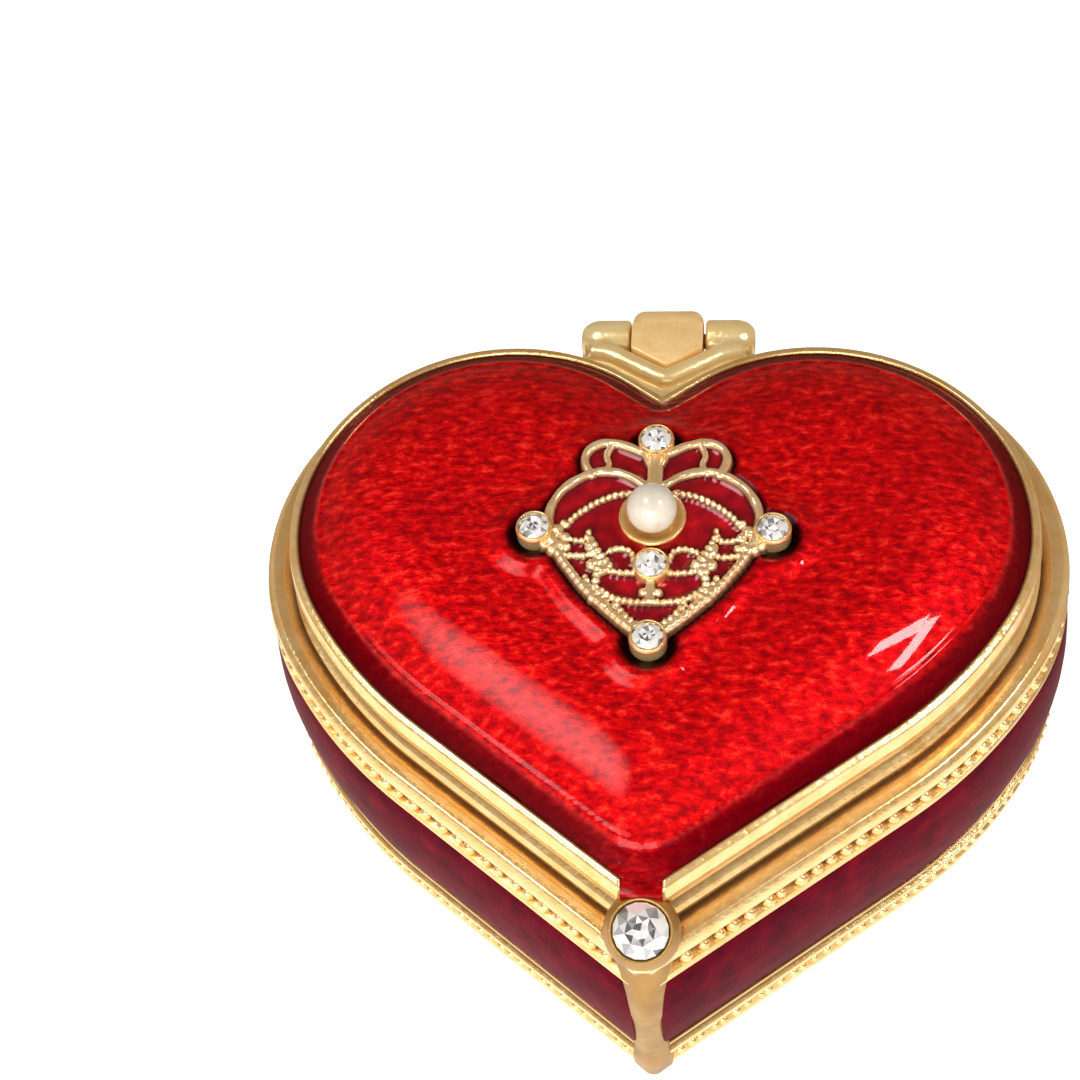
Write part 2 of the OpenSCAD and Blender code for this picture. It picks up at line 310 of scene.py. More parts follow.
def tube(points, r, sides):
    """Round wire along the points, narrowed at both ends."""
    pts = np.asarray(points, float)
    tan = np.gradient(pts, axis=0)
    tan /= np.linalg.norm(tan, axis=1)[:, None]
    side = np.cross(tan, [0, 0, 1])
    side /= np.linalg.norm(side, axis=1)[:, None]
    up = np.cross(side, tan)
    rr = np.full(len(pts), r)
    rr[0] = rr[-1] = r * 0.55
    rows = []
    for k in range(sides):
        a = 2 * math.pi * k / sides
        rows.append(pts + rr[:, None] * (math.cos(a) * side + math.sin(a) * up))
    cols = len(pts)
    faces = grid_faces(sides, cols, True, False)
    faces.append(tuple(k * cols for k in range(sides)))
    faces.append(tuple(k * cols + cols - 1 for k in range(sides)))
    return np.vstack(rows), faces


def ball(at, r, rings, sides):
    turns = [math.pi * k / rings for k in range(rings + 1)]
    return lathe([(r * math.sin(a), -r * math.cos(a)) for a in turns], sides, at)


def smooth_path(points, step):
    """Catmull-Rom curve through the points, sampled evenly."""
    p = np.asarray(points, float)
    p = np.vstack([2 * p[0] - p[1], p, 2 * p[-1] - p[-2]])
    out = []
    for i in range(1, len(p) - 2):
        n = max(2, int(np.linalg.norm(p[i + 1] - p[i]) / step))
        for t in np.linspace(0, 1, n, endpoint=False):
            out.append(0.5 * (2 * p[i] + (p[i + 1] - p[i - 1]) * t
                              + (2 * p[i - 1] - 5 * p[i] + 4 * p[i + 1] - p[i + 2]) * t ** 2
                              + (3 * p[i] - p[i - 1] - 3 * p[i + 1] + p[i + 2]) * t ** 3))
    out.append(p[-2])
    return np.array(out)


def prism(outline, z0, z1, bevel=0.0):
    """Upright block with the outline, its top edge bevelled."""
    p = np.asarray(outline, float)
    n = len(p)
    prev, nxt = np.roll(p, 1, 0), np.roll(p, -1, 0)
    da = (p - prev) / np.linalg.norm(p - prev, axis=1)[:, None]
    db = (nxt - p) / np.linalg.norm(nxt - p, axis=1)[:, None]
    na, nb = np.c_[da[:, 1], -da[:, 0]], np.c_[db[:, 1], -db[:, 0]]
    m = (na + nb) / np.maximum(0.35, 1 + (na * nb).sum(1))[:, None]
    levels = [(0, z0), (0, z1 - bevel), (bevel * 0.3, z1 - bevel * 0.3), (bevel, z1)]
    if bevel == 0:
        levels = [(0, z0), (0, z1)]
    return loft([np.c_[p - d * m, np.full(n, z)] for d, z in levels])


def piece(name, parts, body, material, nodes=(), smooth=40):
    """One visible piece: it rides a body, belongs to a slot, and may stand for nodes of the frame."""
    verts, faces = join_parts(*parts) if isinstance(parts, list) else parts
    obj = mesh_object(name, verts, faces, smooth)
    obj.data.materials.append(material)
    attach(obj, body)
    if nodes:
        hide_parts(*nodes)
    return obj


def float_attribute(obj, values):
    """Edge value of each vertex, read by the materials; it carries painted shade, and the dark band of the
    dome.
    """
    att = obj.data.attributes.new("edge", "FLOAT", "POINT")
    att.data.foreach_set("value", np.clip(values, 0, 1).astype(float))


def recess_shade(obj, spots):
    """Paints shade on the vertices near each (inset, z, radius) of the profile: the recesses there darken to
    brown.
    """
    co = np.array([tuple(v.co) for v in obj.data.vertices]) / MM
    d = outline_depth(co[:, :2])
    shade = np.zeros(len(co))
    for inset, z, r in spots:
        shade = np.maximum(shade, np.exp(-((d - inset) ** 2 + (co[:, 2] - z) ** 2) / r ** 2))
    float_attribute(obj, shade)


def outline_depth(xy):
    """Distance in from the foot outline."""
    return nearest(np.abs(xy) * [1, 0] + xy * [0, 1], denser(HALF, 6))


# ---------------------------------------------------------------- materials
def set_inputs(node, values):
    """Values on the node's inputs; an underscore stands for a space in an input's name."""
    for key, value in values.items():
        node.inputs[key.replace("_", " ")].default_value = value
    return node


def new_node(nt, kind, **values):
    return set_inputs(nt.nodes.new("ShaderNode" + kind), values)


def new_material(name, **values):
    mat = bpy.data.materials.new(name)
    mat.use_nodes = True
    return mat, mat.node_tree, set_inputs(mat.node_tree.nodes["Principled BSDF"], values)


def mm_coords(nt, scale=(1, 1, 1)):
    """Object coordinates in millimetres, stretched."""
    tc = new_node(nt, "TexCoord")
    mp = new_node(nt, "Mapping", Scale=[s / MM for s in scale])
    nt.links.new(tc.outputs["Object"], mp.inputs["Vector"])
    return mp.outputs["Vector"]


def noise(nt, vector, scale, detail, rough=0.5, distortion=0.0):
    n = new_node(nt, "TexNoise", Scale=scale, Detail=detail, Roughness=rough, Distortion=distortion)
    nt.links.new(vector, n.inputs["Vector"])
    return n.outputs["Fac"]


def ramp(nt, value, stops):
    """Colour of the value, from [(position, colour)]."""
    r = new_node(nt, "ValToRGB")
    els = r.color_ramp.elements
    while len(els) < len(stops):
        els.new(0.5)
    for e, (pos, col) in zip(els, stops):
        e.position = pos
        e.color = (*col, 1) if len(col) == 3 else col
    nt.links.new(value, r.inputs["Fac"])
    return r.outputs["Color"]


def span(nt, value, lo, hi, out_lo, out_hi):
    """The value's range lo to hi, mapped to out_lo to out_hi and held at the ends."""
    m = new_node(nt, "MapRange", From_Min=lo, From_Max=hi, To_Min=out_lo, To_Max=out_hi)
    nt.links.new(value, m.inputs["Value"])
    return m.outputs["Result"]


def bump(nt, bsdf, height, strength, distance):
    """Fine unevenness on the shader, with the distance in millimetres."""
    b = new_node(nt, "Bump", Strength=strength, Distance=distance * MM)
    nt.links.new(height, b.inputs["Height"])
    nt.links.new(b.outputs["Normal"], bsdf.inputs["Normal"])


def mix(nt, fac, a, b):
    """Colour between a and b; each is a socket or a plain colour."""
    m = new_node(nt, "Mix")
    m.data_type = "RGBA"
    nt.links.new(fac, m.inputs["Factor"])
    for sock, val in ((m.inputs["A"], a), (m.inputs["B"], b)):
        if isinstance(val, tuple):
            sock.default_value = (*val, 1)
        else:
            nt.links.new(val, sock)
    return m.outputs["Result"]


def attribute(nt, name):
    a = new_node(nt, "Attribute")
    a.attribute_name = name
    return a.outputs["Fac"]


def gold_material(name, light, dark, rough_lo, rough_hi, strength, metal):
    """Plated casting: fine unevenness, slightly uneven tone and gloss, and painted shade that darkens it to
    brown where the edge value is set.
    """
    mat, nt, bsdf = new_material(name, Metallic=metal)
    vec = mm_coords(nt)
    patch = noise(nt, vec, 0.55, 4, 0.6)
    tone = ramp(nt, patch, [(0.3, dark), (0.7, light)])
    # Painted shade: the edge value mixes in dark brown where recesses, grooves and low parts would lie in
    # shade.
    nt.links.new(mix(nt, attribute(nt, "edge"), tone, (0.2, 0.085, 0.018)), bsdf.inputs["Base Color"])
    fine = noise(nt, vec, 2.2, 5, 0.55)
    nt.links.new(span(nt, fine, 0.3, 0.7, rough_lo, rough_hi), bsdf.inputs["Roughness"])
    bump(nt, bsdf, fine, strength, 0.12)
    return mat


RED_TINT = (1, 0.04, 0.05, 1)


def ruby_material():
    """Clear red enamel over a hammered, streaked metal ground; darker in a band along the rail, and near
    black in a painted shadow round the ornament.
    """
    mat, nt, bsdf = new_material("ruby_enamel", Metallic=0.5, Specular_Tint=RED_TINT,
                                 Specular_IOR_Level=0.05, Roughness=0.42, Coat_IOR=1.36, Coat_Roughness=0.04)
    vec = mm_coords(nt, (0.7, 1.2, 1.0))
    fleck = noise(nt, vec, 1.6, 3, 0.6, 0.15)
    cloud = noise(nt, mm_coords(nt, (0.6, 1, 1)), 0.16, 3, 0.55, 0.4)
    ground = ramp(nt, fleck, [(0.36, (0.34, 0.0, 0.003)), (0.47, (0.58, 0.001, 0.004)),
                              (0.56, (0.78, 0.002, 0.004)), (0.7, (1.0, 0.04, 0.025))])
    deep = ramp(nt, fleck, [(0.36, (0.32, 0.0, 0.004)), (0.7, (0.8, 0.003, 0.008))])
    tone = mix(nt, span(nt, cloud, 0.3, 0.55, 0.25, 1), deep, ground)
    # The edge value darkens the enamel: the rail band up to 0.8, and the painted shadow round the ornament
    # to near black at 1.
    edge = attribute(nt, "edge")
    band_and_painted_shadow = ramp(nt, edge, [(0.8, (0.1, 0.0, 0.003)), (1.0, (0.004, 0.0, 0.0))])
    nt.links.new(mix(nt, span(nt, edge, 0, 0.8, 0, 1), tone, band_and_painted_shadow), bsdf.inputs["Base Color"])
    nt.links.new(span(nt, edge, 0.4, 0.8, 0.6, 0.15), bsdf.inputs["Coat Weight"])
    bump(nt, bsdf, fleck, 0.5, 0.25)
    return mat


def cell_material():
    """The same enamel in the ornament's cells, with painted shade that darkens it next to the wires."""
    mat, nt, bsdf = new_material("cell_enamel", Metallic=0.35, Specular_Tint=RED_TINT,
                                 Specular_IOR_Level=0.05, Roughness=0.35, Coat_Weight=0.9,
                                 Coat_Roughness=0.04)
    n = noise(nt, mm_coords(nt), 0.8, 3, 0.5)
    col = ramp(nt, n, [(0.35, (0.3, 0.0, 0.01)), (0.6, (0.55, 0.003, 0.014)), (0.75, (0.85, 0.01, 0.01))])
    # Painted shade: near-black red mixed in next to the wires.
    nt.links.new(mix(nt, attribute(nt, "edge"), col, (0.07, 0.0, 0.004)), bsdf.inputs["Base Color"])
    return mat


def wine_material():
    """Wine-red enamel of the side panels, clouded and with a few brighter flecks."""
    mat, nt, bsdf = new_material("wine_enamel", Roughness=0.45, Specular_IOR_Level=0.01, Coat_Weight=0.03,
                                 Coat_Roughness=0.1)
    n = noise(nt, mm_coords(nt), 0.45, 4, 0.6, 0.5)
    fleck = noise(nt, mm_coords(nt), 2.4, 4, 0.7)
    base = ramp(nt, n, [(0.3, (0.06, 0.0, 0.005)), (0.55, (0.11, 0.0, 0.009)), (0.75, (0.18, 0.001, 0.01))])
    out = mix(nt, span(nt, fleck, 0.66, 0.74, 0, 1), base, (0.38, 0.004, 0.012))
    nt.links.new(out, bsdf.inputs["Base Color"])
    bump(nt, bsdf, n, 0.25, 0.15)
    return mat


def pearl_enamel_material(name, warm, cool):
    """Swirled pearlescent enamel."""
    mat, nt, bsdf = new_material(name, Roughness=0.28, Coat_Weight=0.8, Coat_Roughness=0.06,
                                 Sheen_Weight=0.15)
    vec = mm_coords(nt, (0.45, 1.0, 1.0))
    big = noise(nt, vec, 0.07, 2, 0.5)
    warp = new_node(nt, "VectorMath")
    warp.operation = "MULTIPLY_ADD"
    nt.links.new(noise(nt, vec, 0.09, 2).node.outputs["Color"], warp.inputs[0])
    warp.inputs[1].default_value = (22, 22, 22)
    nt.links.new(vec, warp.inputs[2])
    swirl = noise(nt, warp.outputs["Vector"], 0.32, 4, 0.5, 1.4)
    pale = tuple(min(1, c * 1.08) for c in warm)
    streak = ramp(nt, swirl, [(0.36, cool), (0.46, warm), (0.54, pale), (0.62, warm), (0.74, cool)])
    tone = mix(nt, span(nt, big, 0.4, 0.6, 0, 0.35), streak, warm)
    nt.links.new(tone, bsdf.inputs["Base Color"])
    bump(nt, bsdf, swirl, 0.12, 0.2)
    return mat


def magnet_material():
    """Nickel-plated magnet, slightly mottled."""
    mat, nt, bsdf = new_material("magnet_steel", Metallic=0.9)
    n = noise(nt, mm_coords(nt), 1.4, 4, 0.6)
    nt.links.new(ramp(nt, n, [(0.3, (0.3, 0.37, 0.4)), (0.7, (0.5, 0.57, 0.6))]), bsdf.inputs["Base Color"])
    nt.links.new(span(nt, n, 0.3, 0.7, 0.25, 0.42), bsdf.inputs["Roughness"])
    return mat


def gap_shadow_material():
    """Painted shadow: a near-black sheet that darkens the gap round a magnet."""
    mat, nt, bsdf = new_material("magnet_gap_shadow", Roughness=0.6)
    n = noise(nt, mm_coords(nt), 1.5, 3)
    col = ramp(nt, n, [(0.3, (0.01, 0.01, 0.01)), (0.7, (0.03, 0.025, 0.02))])
    nt.links.new(col, bsdf.inputs["Base Color"])
    return mat


def crystal_material():
    """Foil-backed stone: each facet takes its own light or dark tone, a painted glint or a painted dark
    reflection.
    """
    mat, nt, bsdf = new_material("crystal", Metallic=0.35, Roughness=0.06, Coat_Weight=1.0,
                                 Coat_Roughness=0.02)
    col = ramp(nt, attribute(nt, "facet"), [(0.0, (0.16, 0.16, 0.17)), (0.25, (0.4, 0.41, 0.42)),
                                            (0.5, (0.8, 0.82, 0.83)), (0.8, (0.98, 0.98, 0.98))])
    nt.links.new(col, bsdf.inputs["Base Color"])
    return mat


def pearl_material():
    """Imitation pearl: a cream body with a soft lustre."""
    mat, nt, bsdf = new_material("pearl", Roughness=0.22, Coat_Weight=0.6, Coat_Roughness=0.12,
                                 Sheen_Weight=0.3, Subsurface_Weight=0.15, Subsurface_Scale=0.6 * MM)
    n = noise(nt, mm_coords(nt), 0.7, 4, 0.6)
    col = ramp(nt, n, [(0.3, (0.6, 0.54, 0.43)), (0.55, (0.69, 0.65, 0.56)), (0.8, (0.63, 0.59, 0.56))])
    nt.links.new(col, bsdf.inputs["Base Color"])
    return mat


GOLD = gold_material("gilt", (1.0, 0.77, 0.4), (0.95, 0.58, 0.2), 0.12, 0.26, 0.28, 0.74)
MATTE_GOLD = gold_material("matte_gilt", (0.52, 0.3, 0.095), (0.37, 0.2, 0.06), 0.36, 0.5, 0.6, 0.65)
LEAF_GOLD = gold_material("brushed_gilt", (1.0, 0.74, 0.36), (0.88, 0.58, 0.24), 0.28, 0.4, 0.4, 0.25)
# Painted light: a brighter copy of the gilt, so that the hinge knuckles and the V bead read lighter than the
# same metal elsewhere.
HINGE_LIT_GOLD = gold_material("hinge_lit_gilt", (1.0, 0.86, 0.48), (1.0, 0.72, 0.3), 0.12, 0.26, 0.4, 0.45)
CAST_GOLD = gold_material("cast_gilt", (1.0, 0.82, 0.5), (0.96, 0.62, 0.32), 0.1, 0.24, 0.35, 0.68)
# Painted shade: dark brown gilt that stands for the shade in the bead groove.
GROOVE_SHADE_GILT = gold_material("groove_shade_gilt", (0.3, 0.14, 0.03), (0.1, 0.04, 0.01), 0.35, 0.55, 0.4, 0.6)
RUBY = ruby_material()
CELL = cell_material()
WINE = wine_material()
IVORY = pearl_enamel_material("pearl_enamel", (0.68, 0.62, 0.46), (0.5, 0.48, 0.38))
GREYISH = pearl_enamel_material("pearl_enamel_lid", (0.5, 0.48, 0.39), (0.34, 0.35, 0.31))
STEEL = magnet_material()
GAP_SHADOW = gap_shadow_material()
CRYSTAL = crystal_material()
PEARL = pearl_material()


# ---------------------------------------------------------------- base
def base_shell():
    """Cast wall and floor, with the foot, the rim and the seat of the lid in one profile."""
    profile = fillet([
        (0.5, 0, 0), (0.1, 0, 0.2), (0.0, 0.9, 0.2), (0.3, 1.15, 0.1), (0.34, 2.35, 0.1), (0.02, 2.6, 0.12),
        (0.02, 3.1, 0.12), (0.4, 3.25, 0.05), (0.32, 3.55, 0.1), (0.4, 3.85, 0.05), (1.6, 3.95, 0),
        (1.7, 15.05, 0), (0.9, 15.1, 0.05), (0.62, 15.35, 0.2), (0.9, 15.66, 0.05), (1.62, 15.72, 0.1),
        (1.72, 16.5, 0.2), (1.5, 16.9, 0.15), (1.0, 17.35, 0.25), (0.95, 18.25, 0.5), (1.5, 18.68, 0.35),
        (2.3, 18.6, 0.4), (2.85, 18.12, 0.2), (3.42, 17.98, 0.1), (3.5, 17.2, 0.05), (4.2, 17.2, 0.05),
        (4.25, 1.7, 0)
    ])
    return heart_sweep(profile, closed=False)


def cut(obj, cutter):
    """Takes the cutter's solid out of the object and drops the cutter."""
    mod = obj.modifiers.new("cut", "BOOLEAN")
    mod.operation = "DIFFERENCE"
    mod.solver = "EXACT"
    mod.object = cutter
    bpy.context.view_layer.update()
    done = bpy.data.meshes.new_from_object(obj.evaluated_get(bpy.context.evaluated_depsgraph_get()))
    obj.modifiers.clear()
    obj.data = done
    bpy.data.objects.remove(cutter)


def bead_row(d, z, pitch, r, start, end, jitter):
    """Slightly uneven beads along both sides of the heart, from one run to another."""
    parts = []
    n = int((end - start) / pitch)
    for side in (1, -1):
        s = np.linspace(start, end, n) + rng.uniform(-jitter, jitter, n) * pitch
        for x, y in along(d, s):
            size = r * rng.uniform(0.82, 1.15)
            parts.append(ball((x * side, y, z + rng.uniform(-0.05, 0.05)), size, 6, 8))
    return parts


def corner_post():
    """Post at the point; it flares at the top into the seat of the thumb ball."""
    rows = []
    rise = math.tan(SIDE_ANGLE)
    for z, w, d in ((0.05, 1.3, 0.1), (0.4, 1.45, -0.12), (2.8, 1.4, -0.12), (3.5, 1.25, 0.0),
                    (4.5, 1.17, 0.06), (8, 1.14, 0.08), (11, 1.14, 0.1), (12.6, 1.18, 0.16),
                    (13.8, 1.25, 0.3), (14.8, 1.4, 0.5), (15.6, 1.6, 0.75), (16.3, 1.8, 1.0),
                    (17.0, 2.0, 1.2)):
        tip = TIP_Y + d / math.cos(SIDE_ANGLE)
        half = [(0.22, tip + 0.24), (0.5, tip + 0.5 * rise), (w - 0.12, tip + (w - 0.12) * rise + 0.04),
                (w, tip + w * rise + 0.28)]
        back = tip + w * rise + 1.6
        loop = [(-x, y) for x, y in half[::-1]] + half + [(w, back), (-w, back)]
        rows.append([(x, y, z) for x, y in loop])
    return loft(rows)


def rear_block():
    """Plain gold wall behind, where the hinge arms join."""
    profile = fillet([(0.3, PANEL_Z0 - 0.2, 0), (0.3, 15.3, 0), (1.9, 15.3, 0), (1.9, PANEL_Z0 - 0.2, 0)])
    s = np.linspace(PANEL_END, RUN[-1] - 0.001, 16)
    return [side_sweep(profile, s, 1), side_sweep(profile, s, -1)]


base_parts = [base_shell()] + rear_block()
base_body = piece("base_tray", base_parts, "base", GOLD, ["base_casting"])
# Painted shade: brown darkening in the grooves and coves of the base's profile.
recess_shade(base_body, [(1.7, 16.0, 0.5), (1.65, 16.6, 0.4), (3.4, 17.6, 0.5), (0.4, 3.3, 0.15),
                         (0.75, 15.0, 0.2), (2.95, 18.05, 0.2), (0.42, 3.85, 0.15), (0.33, 1.8, 0.5)])
post_obj = piece("corner_post", corner_post(), "base", MATTE_GOLD)
for front, z0, z1 in ((-24.35, 15.2, 19.5), (TIP_Y + 0.5, -1, 4.2)):
    corner = prism([(-3, -27), (3, -27), (3, front), (-3, front)], z0, z1)
    cut(base_body, mesh_object("corner", *corner))
for obj in (base_body, post_obj):
    cut(obj, mesh_object("socket", *ball(BALL, BALL_R + 0.12, 24, 48)))
bead_end = RUN[-1] - 1.5
beads = bead_row(1.22, 16.25, 1.32, 0.48, 3.4, bead_end, 0.18)
beads += bead_row(0.22, 1.75, 1.0, 0.4, 2.2, bead_end, 0.2)
piece("bead_moulding", beads, "base", GOLD)
# The groove behind the upper beads, in the dark painted-shade gilt.
groove = [(1.55, 15.74), (1.68, 15.8), (1.7, 16.5), (1.52, 16.82)]
groove_body = heart_sweep([(d - 0.03, z) for d, z in groove] + [(d + 0.1, z) for d, z in groove[::-1]])
piece("bead_groove", groove_body, "base", GROOVE_SHADE_GILT)


def panel(side):
    """Convex enamel panel with softly rounded edges."""
    h = PANEL_Z1 - PANEL_Z0
    bulge = [(0.72, 0.0), (0.42, 0.03), (0.22, 0.1), (0.06, 0.2), (0.0, 0.33), (0.0, 0.47), (0.08, 0.6),
             (0.24, 0.73), (0.46, 0.85), (0.68, 0.94), (0.95, 0.995)]
    prof = [(d, PANEL_Z0 + 0.02 + (h - 0.04) * t) for d, t in bulge]
    prof += [(1.69, PANEL_Z1 - 0.03), (1.69, PANEL_Z0 + 0.03)]
    s = np.linspace(run_at_x(1.0, True), PANEL_END, 150)
    return side_sweep(prof, s, side)


for side, name in ((1, "right"), (-1, "left")):
    piece("side_panel_" + name, panel(side), "base", WINE, ["side_enamel_" + name])


def tray_lining():
    """Pearl enamel: walls down into a wide fillet and a flat floor."""
    floor_z, top = 2.1, 17.1
    back, wall, hollow_r = 4.22, 4.8, 4
    prof = [(back, floor_z - 0.4), (back, top), (4.4, top), (4.62, top - 0.25), (4.72, top - 0.8), (wall, 8)]
    for a in np.radians(np.linspace(0, 90, 12)):
        prof.append((wall + hollow_r * (1 - math.cos(a)), floor_z + hollow_r * (1 - math.sin(a))))
    return heart_sweep(prof, closed=False)


piece("tray_lining", tray_lining(), "base", IVORY, ["base_lining"])

POST_R = high("base_magnet_post")[0]
POST_TOP = high("base_magnet_post")[2]
BORE_R = POST_R - 0.85
BORE_DEPTH = 2.2
MAGNET_R = high("base_magnet")[0]


def at_magnet(profile, z, steps=64):
    """The (r, z) profile turned about the magnets' axis."""
    return lathe(profile, steps, (0, MAGNET[1], z))


post = fillet([(0, 1.7, 0), (POST_R, 1.7, 0), (POST_R, POST_TOP, 0.3), (BORE_R + 0.05, POST_TOP, 0.12),
               (BORE_R, POST_TOP - BORE_DEPTH, 0), (0, POST_TOP - BORE_DEPTH, 0)])
piece("magnet_post", lathe(post, 64, (MAGNET[0], MAGNET[1], 0)), "base", GOLD, ["base_magnet_post"])
disc = fillet([(0, 0, 0), (MAGNET_R, 0, 0), (MAGNET_R, 2, 0.25), (0, 2, 0)])
piece("base_magnet_disc", at_magnet(disc, low("base_magnet")[2]), "base", STEEL,
      ["base_magnet"])


# ---------------------------------------------------------------- hinge
ACROSS = Matrix.Rotation(math.radians(90), 4, "Y")
ARM_R = high("hinge_arm_right")[2] - HINGE_Z
PIN_R = 0.6


def knuckle(x0, x1, r, ends, steps=40):
    """Barrel along X with rounded ends and the pin hole."""
    bore = PIN_R + 0.02
    prof = [(bore, x0)]
    for x, e, way in ((x0, ends[0], 1), (x1, ends[1], -1)):
        a = np.radians(np.linspace(0, 90, 8))[::way]
        soft = min(e, r - bore)
        prof += [(r - soft * (1 - math.sin(k)), x + way * e * (1 - math.cos(k))) for k in a]
    prof.append((bore, x1))
    return lathe(prof, steps, (0, HINGE_Y, HINGE_Z), ACROSS)


def arm_web(side):
    """Tapered web from the wall to the knuckle."""
    sect = [(20.5, 10.5), (23.6, 11.0), (HINGE_Y + 0.4, HINGE_Z - ARM_R + 0.25),
            (HINGE_Y + 1.0, HINGE_Z - ARM_R * 0.6), (HINGE_Y, HINGE_Z + 0.3), (24.4, HINGE_Z - 0.3),
            (20.5, HINGE_Z - 0.5)]
    rows = []
    for x, grow in ((ARM_X0, 0.86), (ARM_X0 + 0.3, 1), (ARM_X1 - 0.5, 1), (ARM_X1 - 0.05, 0.86)):
        c = np.mean(sect, axis=0)
        rows.append([(side * x, c[0] + (y - c[0]) * grow, c[1] + (z - c[1]) * grow) for y, z in sect])
    return loft(rows)


def hinge_arm(side):
    """Knuckle and web; the knuckle's outer end is the rounder one."""
    x0, x1, ends = (ARM_X0, ARM_X1, (0.3, 1.5)) if side > 0 else (-ARM_X1, -ARM_X0, (1.5, 0.3))
    return [knuckle(x0, x1, ARM_R, ends), arm_web(side)]


# The knuckles take the brighter gilt copy: painted light.
for side, name in ((1, "right"), (-1, "left")):
    piece("knuckle_" + name, hinge_arm(side), "base", HINGE_LIT_GOLD, ["hinge_arm_" + name])
pin = fillet([(0, -PIN_END, 0), (PIN_R, -PIN_END, 0.15), (PIN_R, PIN_END, 0.15), (0, PIN_END, 0)])
piece("pin", lathe(pin, 32, (0, HINGE_Y, HINGE_Z), ACROSS), "base", MATTE_GOLD, ["hinge_pin"])

LEAF_TOP = high("lid_hinge_leaf")[2]
LEAF_LOW = LAND + 0.85


def leaf_plate():
    """Flat plate that fills the cleft, ending in the rounded middle knuckle."""
    w = LEAF_HALF
    v = 22.7
    edge = v + w * math.tan(math.radians(32))
    pts = [(0, v, 0.3), (w, edge, 0.3), (w, HINGE_Y + 0.2, 0.3), (-w, HINGE_Y + 0.2, 0.3), (-w, edge, 0.3)]
    top = prism(fillet(pts), LEAF_LOW, LEAF_TOP, 0.15)
    return [top, knuckle(-w, w, LEAF_R, (0.9, 0.9), 56)]


def v_bead():
    """Bright V moulding between the lid and the plate."""
    path = [(-6.0, 24.5, 19.3), (-4.2, 24.1, 19.35), (-2.2, 22.9, 19.4), (-0.15, 21.75, 19.4)]
    left = smooth_path(path, 0.3)
    right = left[::-1] * [-1, 1, 1]
    return tube(np.vstack([left, right]), 0.82, 16)


def cleft_web():
    """Web between the bead and the lid wall."""
    wall = ring(3.3)
    n = len(HALF)
    cleft = wall[n - 11 - CLEFT_STEPS:n + 10 + CLEFT_STEPS]
    rear = [(-5.6, 24.4), (-2.2, 22.9), (0, 21.8), (2.2, 22.9), (5.6, 24.4)]
    return prism(np.vstack([cleft, rear]), LEAF_LOW, LEAF_LOW + 0.55)


piece("hinge_leaf", leaf_plate(), "lid", LEAF_GOLD, ["lid_hinge_leaf"])
# The V bead takes the brighter gilt copy: painted light.
piece("hinge_bead", [v_bead(), cleft_web()], "lid", HINGE_LIT_GOLD)

# ---------------------------------------------------------------- outline of the ornament
CELL_Z = CROWN_Z + 0.5
# Wires of the right half: points, half width, height, and the spacing of their grains (0 for a plain wire).
STROKES = {
    "curl": ([(0.9, 10.1), (2.2, 10.75), (3.5, 11.0), (4.5, 10.6), (4.95, 9.8), (4.8, 8.9), (4.4, 8.3)],
             0.36, 0.42, 0),
    "hook": ([(3.1, 10.8), (3.45, 9.9), (3.25, 9.1), (3.6, 8.4)], 0.26, 0.36, 0),
    "arc": ([(0.7, 7.4), (1.7, 8.1), (2.8, 8.5), (4.0, 8.5), (5.2, 8.0), (6.3, 7.1), (6.95, 6.0), (7.2, 5.0),
             (7.1, 4.0)], 0.36, 0.42, 0),
    "inner": ([(1.2, 6.75), (2.5, 6.6), (3.6, 6.15), (4.6, 5.5), (5.4, 4.8), (5.9, 4.1)], 0.25, 0.4, 0.46),
    "border": ([(6.9, 3.2), (6.3, 1.7), (5.4, 0.4), (4.5, -0.8), (3.4, -1.95), (2.35, -2.95), (1.3, -3.85),
                (0.2, -4.5)], 0.36, 0.42, 0.52),
    "upper_twig": ([(6.4, 3.4), (5.4, 2.9), (4.6, 2.95), (4.3, 3.7)], 0.22, 0.4, 0.42),
    "loop": ([(6.2, 1.75), (5.2, 1.65), (4.4, 1.7), (3.9, 2.3), (4.2, 3.1)], 0.25, 0.4, 0.44),
    "leaf": ([(4.1, 2.4), (3.6, 1.6), (3.0, 0.9)], 0.5, 0.42, 0.5),
    "ring": ([(3.0, 2.0), (2.2, 2.25), (1.45, 2.0), (1.2, 1.3)], 0.24, 0.4, 0.42),
    "bar": ([(1.2, 0.35), (2.0, 0.35), (2.9, 0.5), (3.7, 0.6)], 0.24, 0.38, 0.46),
    "post": ([(3.7, 1.3), (3.65, 0.2), (3.7, -0.8), (3.4, -1.4)], 0.32, 0.42, 0.48),
    "smile": ([(0, -1.95), (1.3, -1.9), (2.5, -1.6), (3.5, -0.9)], 0.26, 0.42, 0.44),
    "boat": ([(2.3, -2.05), (1.95, -2.6), (1.4, -3.2), (0.8, -3.65)], 0.3, 0.34, 0.5),
    "rib": ([(4.4, 0.0), (4.0, -0.9), (3.0, -1.9)], 0.24, 0.34, 0.42)
}
NUGGETS = [(6.5, 3.7, 0.5), (6.0, 3.1, 0.42), (6.9, 2.9, 0.5), (6.3, 2.4, 0.45), (6.9, 2.2, 0.36),
           (7.25, 3.3, 0.5), (5.8, 2.3, 0.34), (7.4, 2.6, 0.34), (6.1, 4.3, 0.3), (4.0, 1.0, 0.45),
           (3.3, 0.4, 0.35), (3.9, -1.6, 0.3), (0.5, -1.2, 0.34), (2.9, -2.2, 0.3)]  # x, y, radius
STEM = [(1.15, 10.4), (0.9, 9.6), (0.55, 8.8), (0.5, 7.2)]  # half width, y
FLANK = 5.0  # slope of the relief outside its wires


def smooth_flat(points, step=0.08):
    return smooth_path([(x, y, 0) for x, y in points], step)[:, :2]


